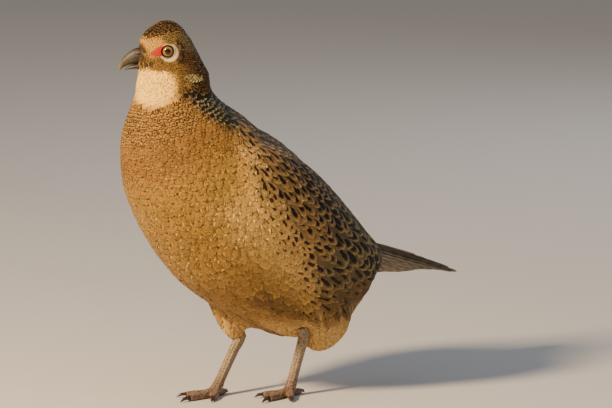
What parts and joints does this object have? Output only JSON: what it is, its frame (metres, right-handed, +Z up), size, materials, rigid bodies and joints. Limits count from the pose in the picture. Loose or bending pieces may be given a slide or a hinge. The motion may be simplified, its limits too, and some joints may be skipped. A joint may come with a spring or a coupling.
{
  "type": "common pheasant",
  "caption": "Hen common pheasant standing alert, life size, with the head turned to her right, mottled brown plumage and a long pointed tail.",
  "frame": {"origin": "on the floor, under the middle of the bird's bounding box", "axes": "the trunk faces -Y, +X is the bird's left, +Z is up, and the tail points along +Y"},
  "size_m": [0.166, 0.4138, 0.3402],
  "materials": {
    "plumage": "matt feathers, sandy brown with dark marks",
    "wing": "matt feathers, dark brown with buff edges",
    "bill": "satin horn, olive grey with a pale tip",
    "eye": "wet gloss, amber iris and black pupil",
    "leg": "satin scales, grey tan",
    "claw": "satin horn, dark brown"
  },
  "bodies": {
    "root": {"head": "plumage", "neck": "plumage", "trunk": "plumage", "thigh_left": "plumage", "thigh_right": "plumage", "wing_left": "wing", "wing_right": "wing", "tail": "wing", "eye_left": "eye", "eye_right": "eye", "bill_upper": "bill", "bill_lower": "bill", "tarsus_left": "leg", "tarsus_right": "leg", "toe_left_inner": "leg", "toe_left_middle": "leg", "toe_left_outer": "leg", "toe_left_hind": "leg", "toe_right_inner": "leg", "toe_right_middle": "leg", "toe_right_outer": "leg", "toe_right_hind": "leg", "claw_left_inner": "claw", "claw_left_middle": "claw", "claw_left_outer": "claw", "claw_left_hind": "claw", "claw_right_inner": "claw", "claw_right_middle": "claw", "claw_right_outer": "claw", "claw_right_hind": "claw"}
  },
  "joints": []
}
